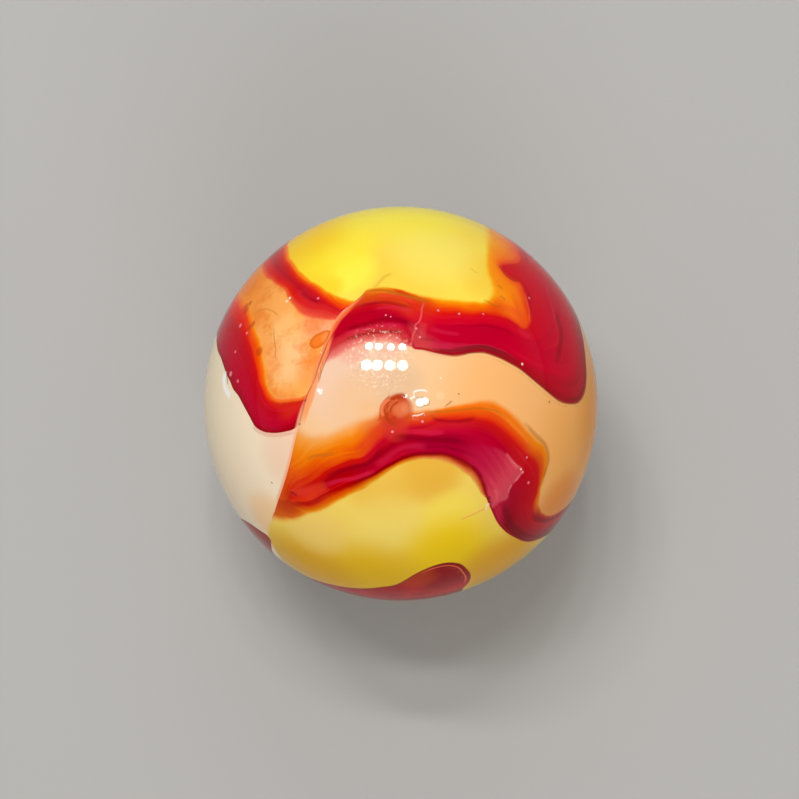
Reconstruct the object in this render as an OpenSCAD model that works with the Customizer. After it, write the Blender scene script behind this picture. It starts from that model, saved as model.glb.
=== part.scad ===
// A machine-made glass marble: one ball of milky glass with ribbons of red, orange and yellow glass
// folded into its skin. The colours are fields of the one solid ball, bounded by curves that are
// given as places on a globe: degrees east and degrees north of the middle of its best face.

/* [Ball] */
// Diameter of the ball
ball_d = 16; // [10:0.5:35]
// How far the best face is turned up from facing the front, in degrees
face_up = 80; // [0:5:90]

/* [Colours in the glass] */
// How deep the ribbons and fields of colour reach under the skin
colour_depth = 1.2; // [0.3:0.1:3]

/* [Fold line] */
// Width of the shallow crease where the hot gob closed on itself
crease_w = 0.16; // [0.1:0.02:0.4]
// Depth of that crease
crease_depth = 0.02; // [0.01:0.01:0.05]
// Half-angle of the cone on which the crease lies, in degrees
crease_cone = 83; // [75:1:90]
// Angle that the crease runs round the ball, in degrees
crease_sweep = 73; // [20:1:120]

/* [Cut-off mark] */
// Width of the shallow dish left beside the curl of colour
dish_w = 1; // [0.4:0.1:1.6]
// Depth of that dish
dish_depth = 0.03; // [0.01:0.01:0.08]

/* [Hidden] */

ball_r = ball_d / 2;
// Each wedge of colour is drawn out past the skin, far enough for its flat outer faces to clear the ball
wedge_reach = 3 * ball_r;
// Straight pieces between two neighbouring points of a curve
curve_steps = 2;
// Pole of the circle that the crease follows, and where on that circle it starts
crease_pole = [-110, 21];
crease_start = -41;
// Middle of the dish
dish_place = [3, -1];

glass_milky = "#E2D2B8";
glass_peach = "#F2BE8C";
glass_yellow = "#F5DC48";
glass_lemon = "#E9CC50";
glass_orange = "#F08A1C";
glass_red = "#B80824";
glass_brown = "#B4420E";

// Upper edge of the upper ribbon, from the fold line eastwards and over to the back
upper_top = [
    [-13, 31], [-8, 31.5], [0, 31], [8, 28.5], [15, 27], [22, 27], [29, 26], [36, 25.5],
    [42, 28], [42, 33], [40, 38], [40, 43], [47, 48], [62, 52.5], [82, 56], [110, 55.5]
];
// Lower edge of the upper ribbon, point for point below the upper edge
upper_foot = [
    [-21, 18], [-14, 18.5], [-6, 18.5], [2, 16.5], [9, 14], [16, 14], [24, 15], [31, 13],
    [37, 10], [43, 6], [49, 2], [56, 0], [63, 2], [67, 12], [75, 24], [110, 36]
];
// Upper edge of the lower ribbon, from the fold line eastwards, round the right side and up the back
lower_top = [
    [-37, -23], [-28, -19], [-20, -16], [-12, -13], [-7, -9], [0, -5.5], [7, -4.5],
    [15, -3.5], [24, -4], [31, -6.5], [37, -11.5], [42, -18], [45, -26], [49, -32],
    [58, -35], [70, -32.5], [85, -28], [99, -18], [106, 0], [106, 20], [104, 42]
];
// Lower edge of the lower ribbon
lower_foot = [
    [-43, -31.5], [-33, -29], [-25, -25.5], [-17, -22], [-11, -20], [-5, -17], [1, -14],
    [8, -13.5], [14, -14.5], [20, -17], [24, -24], [28, -29], [32, -34], [38, -39.5],
    [50, -42], [66, -43.5], [85, -43], [108, -34], [122, -10], [123, 18], [116, 46]
];
// Upper edge of the crown ribbon, from the fold line westwards and over the back to the upper ribbon
crown_top = [
    [-18, 26.5], [-22, 29], [-27, 32], [-33, 35], [-40, 39.5], [-50, 45], [-61, 50], [-72, 54],
    [-84, 57.5], [-97, 60], [-120, 64], [-150, 66], [180, 64], [150, 60], [125, 57], [108, 55]
];
// Lower edge of the crown ribbon
crown_foot = [
    [-21, 23.5], [-26, 25], [-31, 27.5], [-36, 32.5], [-43, 36], [-51, 39], [-60, 42.5], [-70, 45],
    [-82, 47.5], [-95, 50], [-120, 55], [-150, 58], [180, 57], [150, 52], [125, 46], [107, 40]
];
// Outer edge of the left ribbon, from the fold line round the left side to its tail on the back
left_outer = [
    [-29.5, -3.5], [-33, -6.5], [-38, -8], [-44, -7], [-48, -3], [-52, 2], [-60, 10], [-66, 13.5],
    [-75, 18], [-92, 23], [-118, 20], [-138, 8], [-152, -8], [-167, -20], [176, -26], [156, -27]
];
// Inner edge of the left ribbon
left_inner = [
    [-29, 0], [-35, -1], [-40, -0.5], [-44, 5], [-47, 10.5], [-49.5, 16], [-54, 21.5], [-61, 27],
    [-75, 32], [-95, 36], [-124, 33], [-148, 19], [-164, 2], [-178, -10], [168, -18], [153, -24]
];
// Inner edge of the under ribbon, from its round head under the ball to its tip by the fold line
under_inner = [
    [27, -52], [20, -51], [12, -54], [5, -59], [-5, -63.5], [-20, -68], [-40, -67.5], [-60, -66],
    [-80, -63], [-92, -57], [-92, -51], [-84, -48.5], [-74, -49], [-66, -46], [-61, -41.5]
];
// Outer edge of the under ribbon
under_outer = [
    [31, -53.5], [37, -56], [42, -61.5], [48, -67], [62, -74], [95, -80], [170, -82], [-130, -76],
    [-112, -66], [-110, -53], [-104, -42], [-92, -36], [-78, -35.5], [-67, -37.5], [-60.5, -40.5]
];
// Edge between the yellow crown and its orange rim, beside the upper ribbon
crown_rim = [
    [-13.5, 32], [-8, 33], [0, 33], [8, 31], [15, 30], [22, 29.5], [28, 29.5], [32, 32],
    [34, 36], [35, 41], [36.5, 46], [40, 51.5], [49, 57.5], [64, 61], [84, 62], [108, 57.5]
];
// Upper limit of the orange glow over the lower ribbon
glow_top = [
    [-30, -8], [-24, -7], [-17, -7], [-11, -6], [-7, -3], [-2, 1.5], [6, -1], [15, -0.5],
    [25, 0], [33, -3], [41, -8.5], [47, -15.5], [49.5, -24], [53, -30], [60, -31.5], [71, -29],
    [85, -24], [99, -16]
];
// Lower limit of the yellow field under the ball, matched to the lower ribbon's lower edge
yellow_foot = [
    [-61, -41.5], [-77, -50], [-96, -54], [-90, -66], [-60, -72], [-40, -74], [-20, -76], [0, -78],
    [30, -80], [60, -82], [90, -82], [110, -80], [125, -77], [135, -73], [141, -67], [144, -60],
    [142, -51], [134, -37], [125, -20]
];
// Curl of brown glass beside the cut-off mark
curl_outer = [[-5.5, -6.5], [-6, -2], [-4, 1], [-1, 2.5], [2.5, 2.5]];
curl_inner = [[-3, -6], [-3.5, -2.5], [-2.5, -0.5], [-0.5, 1], [2, 1]];
// Upper edge of the peach band: down the back of the right side, under the lower ribbon
peach_top = concat(upper_foot, [[114, 25], [114, 5]]);
// Edges of the orange field on the left, rounded off on the back between its two ribbons
field_inner = concat(first(left_inner, 10), [[-106, 41], [-112, 45]]);
field_outer = concat(first(crown_foot, 10), [[-106, 51], [-113, 48]]);

// Direction of a place given in degrees east and north, with the best face turned to the front
function on_ball(place) = [
    cos(place[1]) * sin(place[0]), -cos(place[1]) * cos(place[0]), sin(place[1])
];
function unit(v) = v / norm(v);
function first(list, count) = [for (i = [0 : count - 1]) list[i]];

// Point at share t of the way from b to c on a smooth curve through a, b, c and d
function curve_point(a, b, c, d, t) = unit(
    b + (c - a) * t / 2 + (2 * a - 5 * b + 4 * c - d) * t * t / 2 + (3 * b - a - 3 * c + d) * t * t * t / 2
);

// Smooth curve over the ball, through the given places
function ball_curve(places) =
    let (last = len(places) - 1, dirs = [for (place = places) on_ball(place)]) [
        for (i = [0 : last - 1])
            for (step = [0 : curve_steps - 1])
                curve_point(
                    dirs[max(i - 1, 0)], dirs[i], dirs[i + 1], dirs[min(i + 2, last)], step / curve_steps
                ),
        dirs[last]
    ];

// Wedge from the ball's centre out through the field between two matched curves. Seen from outside,
// edge_b lies on the right of edge_a, looking from its first point to its last.
module wedge(edge_a, edge_b) {
    side_a = ball_curve(edge_a);
    side_b = ball_curve(edge_b);
    n = len(side_a);
    centre = [0, 0, 0];
    corners = [centre, for (dir = side_a) dir * wedge_reach, for (dir = side_b) dir * wedge_reach];
    polyhedron(corners, [
        for (i = [1 : n - 1]) [0, i + 1, i],
        for (i = [1 : n - 1]) [0, n + i, n + i + 1],
        [0, 1, n + 1],
        [0, 2 * n, n],
        for (i = [1 : n - 1]) [i, n + i + 1, n + i],
        for (i = [1 : n - 1]) [i, i + 1, n + i + 1]
    ], convexity = 10);
}

// Wedges that bound the fields of colour
module upper_ribbon() wedge(upper_top, upper_foot);
module lower_ribbon() wedge(lower_top, lower_foot);
module crown_ribbon() wedge(crown_foot, crown_top);
module left_ribbon() wedge(left_outer, left_inner);
module under_ribbon() wedge(under_outer, under_inner);
module crown_yellow() wedge(crown_top, crown_rim);
module crown_orange() wedge(crown_rim, upper_top);
module left_orange() wedge(field_inner, field_outer);
module lower_orange() wedge(glow_top, first(lower_top, 18));
module lower_yellow() wedge(first(lower_foot, 19), yellow_foot);
module peach_band() wedge(peach_top, glow_top);
module curl() wedge(curl_outer, curl_inner);

// The part of the ball's skin, colour_depth thick, that lies inside a wedge
module inlay() {
    difference() {
        intersection() {
            sphere(d = ball_d);
            children();
        }
        sphere(r = ball_r - colour_depth);
    }
}

// Milky glass: the heart of the ball, and its skin wherever no other colour shows
module milky_glass() {
    sphere(r = ball_r - colour_depth);
    difference() {
        sphere(d = ball_d);
        upper_ribbon();
        lower_ribbon();
        crown_ribbon();
        left_ribbon();
        under_ribbon();
        crown_yellow();
        crown_orange();
        left_orange();
        lower_orange();
        lower_yellow();
        peach_band();
        curl();
    }
}

module red_glass() {
    inlay() upper_ribbon();
    inlay() lower_ribbon();
    inlay() crown_ribbon();
    inlay() left_ribbon();
    inlay() under_ribbon();
}

module yellow_glass() {
    inlay() crown_yellow();
}

module lemon_glass() {
    inlay() difference() {
        lower_yellow();
        under_ribbon();
    }
}

module orange_glass() {
    inlay() crown_orange();
    inlay() left_orange();
    inlay() difference() {
        lower_orange();
        curl();
    }
}

module peach_glass() {
    inlay() difference() {
        peach_band();
        lower_ribbon();
        curl();
    }
}

// Turns what stands on +Z to a place on the ball
module turn_to(place) {
    rotate([0, 0, place[0]]) rotate([90 - place[1], 0, 0]) children();
}

// Radius of the round tool that cuts a mark of this width and depth
function tool_radius(width, depth) = (width * width / 4 + depth * depth) / (2 * depth);

module fold_crease() {
    tool_r = tool_radius(crease_w, crease_depth);
    tool_centre = ball_r - crease_depth + tool_r;
    turn_to(crease_pole)
        rotate([0, 0, crease_start])
            rotate_extrude(angle = crease_sweep)
                translate([tool_centre * sin(crease_cone), tool_centre * cos(crease_cone)])
                    circle(r = tool_r);
}

module cut_off_dish() {
    tool_r = tool_radius(dish_w, dish_depth);
    turn_to(dish_place) translate([0, 0, ball_r - dish_depth + tool_r]) sphere(r = tool_r);
}

module marble() {
    $fn = 96;
    rotate([-face_up, 0, 0])
        difference() {
            union() {
                color(glass_milky) milky_glass();
                color(glass_red) red_glass();
                color(glass_yellow) yellow_glass();
                color(glass_lemon) lemon_glass();
                color(glass_orange) orange_glass();
                color(glass_peach) peach_glass();
                color(glass_brown) inlay() curl();
            }
            color(glass_brown) fold_crease();
            color(glass_peach) cut_off_dish();
        }
}

marble();
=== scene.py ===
# %% [markdown]
# # A machine-made glass marble
# A marble like this is cut from a stream of molten glass and rolled between grooved rollers until it is
# round. Ribbons of red, orange and yellow glass ran in the stream, and the roll folded them into the skin
# of a milky ball. So the form is nearly a plain ball, and the work lies in its colour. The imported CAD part
# is loaded first: it is the frame, and gives the ball's size and place.

# %% Load the frame
import math
import bpy
import numpy as np
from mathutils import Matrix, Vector


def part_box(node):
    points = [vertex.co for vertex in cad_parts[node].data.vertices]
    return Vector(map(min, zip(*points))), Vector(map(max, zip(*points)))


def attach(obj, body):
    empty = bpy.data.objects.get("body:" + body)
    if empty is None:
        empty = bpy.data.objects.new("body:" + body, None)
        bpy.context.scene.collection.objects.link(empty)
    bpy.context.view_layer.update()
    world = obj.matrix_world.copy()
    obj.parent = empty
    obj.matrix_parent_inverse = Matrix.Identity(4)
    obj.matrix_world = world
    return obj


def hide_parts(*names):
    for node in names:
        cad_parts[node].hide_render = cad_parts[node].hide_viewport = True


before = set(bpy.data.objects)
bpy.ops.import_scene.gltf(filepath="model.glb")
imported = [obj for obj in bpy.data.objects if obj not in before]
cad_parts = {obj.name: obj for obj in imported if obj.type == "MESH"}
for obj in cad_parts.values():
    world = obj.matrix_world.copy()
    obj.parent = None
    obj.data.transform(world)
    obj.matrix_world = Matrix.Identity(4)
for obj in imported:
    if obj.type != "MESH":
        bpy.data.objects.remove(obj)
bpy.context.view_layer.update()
low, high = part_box("marble")
ball_radius = (high.x - low.x) / 2
print(f"ball: {2000 * ball_radius:.2f} mm across")

# %% [markdown]
# ## Places on the ball
# Everything on the ball is placed as on a globe: degrees east and degrees north of the middle of its best
# face, which is turned up by 80 degrees. On this ball one degree is 0.14 mm. Globe places are easy to read
# off a real marble with a paper net, and they don't stretch as places on a flat picture would.

# %% Directions from globe places
FACE_UP = math.radians(80)
EAST = np.array([1.0, 0.0, 0.0])
NORTH = np.array([0.0, math.sin(FACE_UP), math.cos(FACE_UP)])
BEST_FACE = np.array([0.0, -math.cos(FACE_UP), math.sin(FACE_UP)])


def direction(east, north):
    """Unit vector from the ball's centre to a globe place."""
    e, n = math.radians(east), math.radians(north)
    return math.cos(n) * (math.sin(e) * EAST + math.cos(e) * BEST_FACE) + math.sin(n) * NORTH


print("best face:", np.round(BEST_FACE, 3))

# %% [markdown]
# ## The ball's mesh
# The edges of the colours have to be sharp, so the mesh carries, at each vertex, how far it lies from each
# edge, and that needs small even faces. A globe mesh crowds its poles, so this is a cube blown up into a
# ball, its grid lines bent to keep the squares nearly one size. Then the squares are drawn towards the best
# face, where the detail is finest. Shrinking the tangent of half of each angle keeps small squares square.

# %% Six grids blown up into a ball
GRID = 128        # squares along each side of a grid
CLOSE_UP = 0.6    # how much smaller the squares are at the best face
SIDES = [(BEST_FACE, EAST, NORTH), (EAST, -BEST_FACE, NORTH), (-EAST, BEST_FACE, NORTH),
         (NORTH, EAST, -BEST_FACE), (-NORTH, EAST, BEST_FACE), (-BEST_FACE, -EAST, NORTH)]
bend = np.tan(np.linspace(-math.pi / 4, math.pi / 4, GRID + 1))
right, up = np.meshgrid(bend, bend)
points, corners, net = [], [], []
for side, (out, across, upward) in enumerate(SIDES):
    points.append((out + right[..., None] * across + up[..., None] * upward).reshape(-1, 3))
    first = np.arange(GRID * (GRID + 1)).reshape(GRID, GRID + 1)[:, :-1].ravel()
    square = np.stack([first, first + 1, first + GRID + 2, first + GRID + 1], 1)
    corners.append(square + side * (GRID + 1) ** 2)
    # each grid has its own third of the width and half of the height of the flat layout
    u = (side % 3 + 0.02 + 0.96 * (square % (GRID + 1)) / GRID) / 3
    v = (side // 3 + 0.02 + 0.96 * (square // (GRID + 1)) / GRID) / 2
    net.append(np.stack([u, v], 2))
points = np.concatenate(points)
points /= np.linalg.norm(points, axis=1, keepdims=True)
_, kept, where = np.unique(np.round(points, 6), axis=0, return_index=True, return_inverse=True)
squares = where.ravel()[np.concatenate(corners)]
angle = np.arccos(np.clip(points[kept] @ BEST_FACE, -1, 1))
closer = 2 * np.arctan(CLOSE_UP * np.tan(angle / 2))
sideways = points[kept] - np.cos(angle)[:, None] * BEST_FACE
sideways /= np.linalg.norm(sideways, axis=1, keepdims=True) + 1e-12
spots = np.cos(closer)[:, None] * BEST_FACE + np.sin(closer)[:, None] * sideways
print(f"mesh: {len(spots)} vertices, {2 * len(squares)} triangles")

# %% [markdown]
# ## How far each vertex is from a line
# A drawn line is a smooth curve through a few places, cut into steps of about 0.4 degrees. Each vertex finds
# its nearest step and takes its distance square to the curve there: positive on the left of the line's
# direction, negative on its right. A colour edge drawn where such a distance passes zero stays sharp, even
# between two vertices.

# %% Curves and distances
def curve(places, closed=False):
    """Points about 0.4 degrees apart on a smooth curve through globe places."""
    p = np.array([direction(*place) for place in places])
    if closed:
        p = np.concatenate([p[-1:], p, p[:2]])
    else:
        p = np.concatenate([2 * p[:1] - p[1:2], p, 2 * p[-1:] - p[-2:-1]])
    gap = np.linalg.norm(np.diff(p, axis=0), axis=1)[:, None] + 1e-9
    slope = np.diff(p, axis=0) / gap
    lean = (slope[:-1] * gap[1:] + slope[1:] * gap[:-1]) / (gap[1:] + gap[:-1])
    parts = []
    for i in range(1, len(p) - 2):
        size = gap[i, 0]
        t = np.linspace(0, 1, max(2, int(math.degrees(size) / 0.4)), endpoint=False)[:, None]
        parts.append((1 + 2 * t) * (1 - t) ** 2 * p[i] + t * (1 - t) ** 2 * size * lean[i - 1]
                     + t * t * (3 - 2 * t) * p[i + 1] - t * t * (1 - t) * size * lean[i])
    if not closed:
        parts.append(p[-2:-1])
    line = np.concatenate(parts)
    return line / np.linalg.norm(line, axis=1, keepdims=True)


def measure(line, closed=False):
    """Degrees from a curve at each vertex, signed by side, and how far along the curve, from 0 to 1."""
    if closed:
        ahead = np.roll(line, -1, 0) - np.roll(line, 1, 0)
    else:
        ahead = np.gradient(line, axis=0)
    ahead /= np.linalg.norm(ahead, axis=1, keepdims=True) + 1e-12
    left = np.cross(line, ahead)
    half_step = 0.5 * np.linalg.norm(np.diff(line, axis=0), axis=1).max()
    offset, share = [], []
    for block in np.array_split(spots, 40):
        nearest = (block @ line.T).argmax(1)
        gap = block - line[nearest]
        aside = (gap * left[nearest]).sum(1)
        along = (gap * ahead[nearest]).sum(1)
        beyond = along - np.clip(along, -half_step, half_step)
        offset.append(np.degrees(np.where(aside < 0, -1, 1) * np.hypot(aside, beyond)))
        share.append(nearest / (len(line) - 1))
    return np.concatenate(offset), np.concatenate(share)


def inside(places):
    """Degrees inside a closed curve through globe places, at each vertex."""
    return measure(curve(places, closed=True), closed=True)[0]


def field(edge, other_edge):
    """Degrees inside a field, at each vertex. The field lies on the left of its first edge."""
    return inside(edge + other_edge[::-1])


marks = {}   # name: one number for each vertex

# %% [markdown]
# ## The four ribbons
# Where the red glass is thick it is crimson, and where it thins out it turns orange and then yellow. So each
# ribbon has two outlines: the core, where the glass is thick, and the glow, where its colour ends. Where both
# run together the edge is crisp, and where they part it is soft and orange. A third number goes from 0 at one
# edge of the core to 1 at the other, for the streaks.

# %% A ribbon from its four edges
def ribbon(name, core_left, core_right, glow_left, glow_right):
    """Records a ribbon. It lies on the left of its first edge, and all edges run the same way."""
    marks[name + "_core"] = field(core_left, core_right)
    marks[name + "_glow"] = field(glow_left, glow_right)
    from_left = measure(curve(core_left))[0]
    from_right = -measure(curve(core_right))[0]
    marks[name + "_across"] = np.clip(from_left / np.maximum(from_left + from_right, 0.6), -2, 3)
    print(f"{name} ribbon: {100 * np.mean(marks[name + '_core'] > 0):.1f}% of the vertices")


# Upper ribbon, from the fold line eastwards, and over the right side to the back
foot_right = [
    (3.5, 15.6), (6.5, 15), (11, 14), (15.5, 13.6), (20, 14.3), (24, 14.5), (28, 13.4), (32.5, 11.5),
    (35.5, 10), (38.5, 8), (42.5, 5.4), (46.5, 3), (50.5, 1.2), (55.5, 0.4), (61, 1), (65, 3.7), (67.5, 7.5),
    (69.5, 12), (72.5, 17), (76, 21.5), (80, 25.5), (90, 31), (110, 38)]
ribbon("upper",
    [(-23, 16.5), (-17.5, 19), (-12.5, 20.9), (-7.2, 21.8), (-2, 22), (1.5, 20.5), (3, 17.5)] + foot_right,
    [(-20, 29), (-14.5, 30.6), (-11, 31.8), (-6, 32.2), (-2, 31.4), (1.5, 29.5), (4, 27), (7.5, 25.8),
     (11.5, 25.2), (17, 25.5), (21.5, 25.2), (25.5, 25.5), (30.5, 25), (35, 24.3), (37.2, 23), (39.8, 21.6),
     (42.3, 23), (44, 28), (45.2, 32.5), (45.4, 36.4), (42.5, 37.8), (41, 40), (41.8, 42.2), (46, 43.3),
     (52, 44), (58.5, 46.4), (66, 50), (83.5, 54.6), (97, 55), (110, 53)],
    [(-26, 9), (-19, 12.8), (-14, 15.5), (-10, 16.6), (-4.5, 17.2), (0.5, 16)] + foot_right,
    [(-18, 31), (-13.5, 32.4), (-10, 33.4), (-6, 33.9), (-2, 33.4), (2.5, 32.4), (8, 31), (15.5, 30.1),
     (22.5, 29.5), (28, 29.6), (31, 32), (32.6, 36), (33.6, 40.5), (37.5, 46.5), (45, 53), (61.5, 60.5),
     (80.5, 64), (98, 61), (110, 57)])

# Lower ribbon, from the fold line eastwards, round the right side and up the back
foot_low = [
    (28.5, -28), (31.5, -31.5), (34.5, -34.5), (40, -38), (48.5, -41), (60, -43), (69.5, -42.3), (79.5, -41),
    (90, -41), (108, -33), (122, -10), (123, 18), (116, 46)]
ribbon("lower",
    [(-37.5, -28.2), (-33.5, -28.6), (-30, -28.4), (-25.5, -26.8), (-20.5, -24.7), (-17.2, -23.4),
     (-14, -22.1), (-10.8, -20.9), (-7.8, -19.7), (-4.9, -18), (-2, -16.5), (0.8, -15), (3.5, -14.2),
     (8.7, -13.9), (11.8, -14), (15, -14.8), (18.3, -16.1), (21.1, -17.6), (23.5, -19.9), (25.4, -22.6),
     (27, -25.6)] + foot_low,
    [(-37.5, -26.8), (-34, -24.8), (-28.5, -22.9), (-24.6, -20.9), (-22, -19.2), (-19.5, -18), (-15, -16.4),
     (-10.5, -15.4), (-8.1, -13.7), (-4.7, -10.6), (-1.5, -8.2), (3, -7), (7.5, -6.2), (10, -5), (14.5, -4.6),
     (20, -4.3), (24, -4.8), (27.4, -6.3), (31.2, -9), (34.5, -12), (38, -15), (41.8, -17.8), (45, -21.5),
     (46.5, -25.5), (46.7, -29), (49, -32.5), (55, -35), (65, -35.4), (73.5, -33.5), (86, -29), (100, -19),
     (107, 0), (107, 20), (105, 42)],
    [(-56, -34), (-48, -34.2), (-43.3, -34.6), (-38.4, -34.1), (-33.5, -32.8), (-29.2, -31.7), (-25.1, -30.3),
     (-21.3, -28.6), (-17.6, -26.8), (-14.3, -25.4), (-11.1, -24.1), (-8, -22.1), (-5, -19.9), (-2, -17.9),
     (0.8, -16.5), (3.6, -15.7), (8.8, -15.4), (12, -16), (15.2, -17.3), (18.6, -19.1), (21, -20.8),
     (23.4, -23.2), (25, -25.2)] + foot_low,
    [(-40, -5), (-33, -5.5), (-29, -7), (-25.5, -8.5), (-21.8, -8.4), (-18.8, -7.6), (-15.8, -6.4),
     (-12.5, -5), (-9, -4), (-5, -2.5), (-1, -1.5), (3, -2), (7.5, -1.6), (13, -1), (17.5, -0.2), (22.5, 0.7),
     (27, 0.3), (31, -1.8), (34.4, -4.3), (37.7, -7), (41.7, -9.7), (45.3, -11.8), (47.5, -14.5), (48.3, -18),
     (48.3, -22), (48.9, -25.5), (50.3, -29), (55, -32.3), (63, -33.6), (72.5, -31.8), (85, -26.5), (98, -17),
     (104, 0), (104, 20), (102, 42)])

# Crown ribbon, from the fold line westwards, and over the back to the end of the upper ribbon
ribbon("crown",
    [(-10, 27), (-19, 27.3), (-23, 29.3), (-26, 31), (-30.5, 33.5), (-36.5, 36), (-42.5, 38.9), (-51.5, 43.4),
     (-61.5, 47.9), (-72, 51.3), (-83.5, 54), (-97, 57.5), (-120, 62), (-150, 64.5), (180, 62.5), (150, 58),
     (125, 55), (107, 54)],
    [(-10, 24.5), (-20, 26.2), (-23, 27.6), (-28.5, 28.9), (-33, 31), (-37.3, 33.3), (-41, 35.5), (-48, 38),
     (-60, 42.5), (-73, 46.7), (-82, 48.5), (-95, 51), (-120, 56), (-150, 59.5), (180, 58.5), (150, 53.5),
     (125, 48), (107, 43)],
    [(-10, 29), (-15.5, 29.6), (-20, 30.8), (-24, 32.2), (-28, 34.5), (-33.5, 37), (-40.5, 40.5), (-50, 45.3),
     (-60.5, 50), (-71, 53.5), (-83, 56.5), (-97, 59.5), (-120, 64), (-150, 66), (180, 64), (150, 60),
     (125, 57), (107, 56)],
    [(-10, 23), (-20, 23.5), (-23, 23.7), (-26, 24), (-30, 24.8), (-33.5, 26.8), (-38.5, 30.2), (-43, 33.6),
     (-53.5, 37.3), (-67.5, 41.8), (-82, 46), (-95, 49), (-120, 54), (-150, 57), (180, 56), (150, 51),
     (125, 45.5), (107, 40)])

# Left ribbon, from the fold line round the left side to its tail on the back
outer_left = [
    (-24, -1), (-27.5, -3), (-29.1, -5), (-30.8, -6.5), (-34.1, -7.4), (-38.5, -7.8), (-42.4, -7.3),
    (-44.9, -6.1), (-47, -3.4), (-49.6, -0.3), (-52.1, 2.4), (-54.9, 4.3), (-57, 6.5), (-59.5, 8.4),
    (-61.5, 10.2), (-65, 12.9), (-70, 15.4), (-75.2, 18.2), (-80, 20.6), (-92, 23), (-118, 20), (-138, 8),
    (-152, -8), (-167, -20), (176, -26), (156, -27)]
ribbon("left",
    [(-22, 3), (-26, 1), (-28.8, 0.1), (-33.1, -0.8), (-36.6, -1.1), (-39, -0.1), (-40.8, 1.5), (-42.7, 4.3),
     (-44.3, 7.1), (-46.4, 11.2), (-48.2, 14.1), (-51.4, 17.5), (-55, 20.5), (-60, 23.4), (-66, 25.4),
     (-75, 28), (-88, 31.5), (-100, 33.5), (-124, 32), (-148, 18), (-164, 1), (-178, -11), (168, -19),
     (155, -25)],
    outer_left,
    [(-22, 5.5), (-26.5, 2.9), (-28.1, 2), (-31.4, 1.6), (-34.5, 1.4), (-37.4, 1.9), (-39, 3.2), (-40.2, 5.1),
     (-40.9, 7.5), (-41.7, 10.6), (-43.1, 13.4), (-44.5, 15.8), (-47.2, 19.2), (-51, 22.9), (-54, 26),
     (-60, 29.5), (-66, 32), (-75, 34), (-88, 36.5), (-100, 37), (-124, 34), (-148, 19.5), (-164, 2.5),
     (-179, -10), (168, -18), (154, -24)],
    outer_left)

# %% [markdown]
# ## The ribbon under the ball
# A fifth ribbon runs under the ball. Its round head shows at the bottom as a dull red blob, and its tip
# comes up on the left as far as the end of the fold line. Its edges are crisp all round.

# %% Under ribbon
marks["under_core"] = field(
    [(24, -51.1), (21.5, -51), (16.5, -52), (12, -54), (7.5, -56.7), (3, -60), (-3.5, -63.5), (-12, -65),
     (-22.5, -66.3), (-33.5, -66.6), (-44.5, -66), (-52, -65), (-61.5, -63.5), (-72, -61), (-82, -58.5),
     (-92, -55), (-91, -52), (-84, -50.5), (-77, -48.7), (-71, -46.7), (-65, -44.3), (-61, -41.7)],
    [(27, -51.6), (33.5, -54.5), (40, -58), (47, -63), (52.5, -67), (76.5, -73), (100, -79), (170, -82),
     (-130, -76), (-112, -66), (-110, -53), (-104, -42), (-92, -36.5), (-76, -35.7), (-68.5, -37.3),
     (-64, -39.3), (-61, -41.2)])
print(f"under ribbon: {100 * np.mean(marks['under_core'] > 0):.1f}% of the vertices")

# %% [markdown]
# ## The fields between the ribbons
# A yellow crown, a lemon field below, an orange field on the left and a peach band in the middle fill the
# rest, over a milky ball. Their edges run hidden under the ribbons, except on the left, where yellow meets
# milky glass softly in the open.
#
# The fold line is where the hot gob closed on itself. It is the edge of a flap that goes round half of the
# ball. The right half's ribbons are painted only on the flap and the left one only off it, each drawn a
# little past the line, so that the flap's edge cuts them clean.

# %% Fields and the flap
marks["crown_field"] = field(
    [(-120, 59), (-97, 54.5), (-83, 51.5), (-61, 45.5), (-50, 41), (-40, 36.7), (-30, 31.8), (-22, 27.8),
     (-17, 28), (-12, 29), (-5, 29), (5, 26.5), (15, 24), (25, 23.5), (36, 21), (44, 24), (49, 33), (50, 43),
     (61, 48), (83, 52), (100, 51)],
    [(-150, 62), (180, 60.5), (150, 56), (125, 52)])
marks["lower_field"] = field(
    [(122, 5), (115, -12), (104, -27), (85, -36), (66, -39), (50, -38), (44, -34), (38, -28), (34, -20),
     (28, -13), (20, -10), (8, -10), (-3, -12), (-12, -18), (-25, -24), (-36, -28), (-44, -32.5),
     (-50, -34.8), (-56, -38), (-61, -41.5), (-66, -46.5), (-72, -51), (-84, -55), (-98, -57)],
    [(123, -10), (128, -25), (134, -37), (142, -51), (144, -60), (141, -67), (135, -73), (125, -77),
     (110, -80), (90, -82), (60, -82), (30, -80), (0, -78), (-20, -76), (-40, -74), (-60, -72), (-90, -66)])
marks["orange_field"] = field(
    [(-10, 26), (-21, 26.5), (-30, 31), (-40, 36), (-50, 40.5), (-61, 45), (-75, 49.5), (-88, 50.5),
     (-100, 50)],
    [(-10, 4), (-22, 0), (-30, -3.5), (-36, -5.5), (-43, -4), (-50, 5), (-56, 14), (-65, 20.5), (-75, 25.5),
     (-88, 29), (-102, 34), (-111, 41)])
fold_line = [
    (-11.5, 33), (-12.5, 31.5), (-14, 30), (-16, 28), (-17.8, 26), (-19.4, 24), (-20.7, 21.5), (-21.6, 19.5),
    (-22.3, 17), (-22.9, 14.5), (-23.7, 11.5), (-24.6, 8), (-25.6, 5), (-26.4, 2), (-27.2, 0), (-28, -1.8),
    (-29, -4.5), (-29.7, -6.5), (-30.6, -9), (-31.6, -11.5), (-33.1, -15), (-35.3, -19), (-38.6, -23.7),
    (-42.8, -28.3), (-46.5, -31.8), (-49.5, -34)]
marks["flap"] = inside(fold_line + [
    (-52, -38), (-55, -47), (-62, -64), (-70, -80), (130, -78), (128, -60), (128, -40), (128, -10), (128, 20),
    (128, 50), (128, 70), (20, 84), (-9, 64), (-10.5, 48), (-11, 40)])
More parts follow.
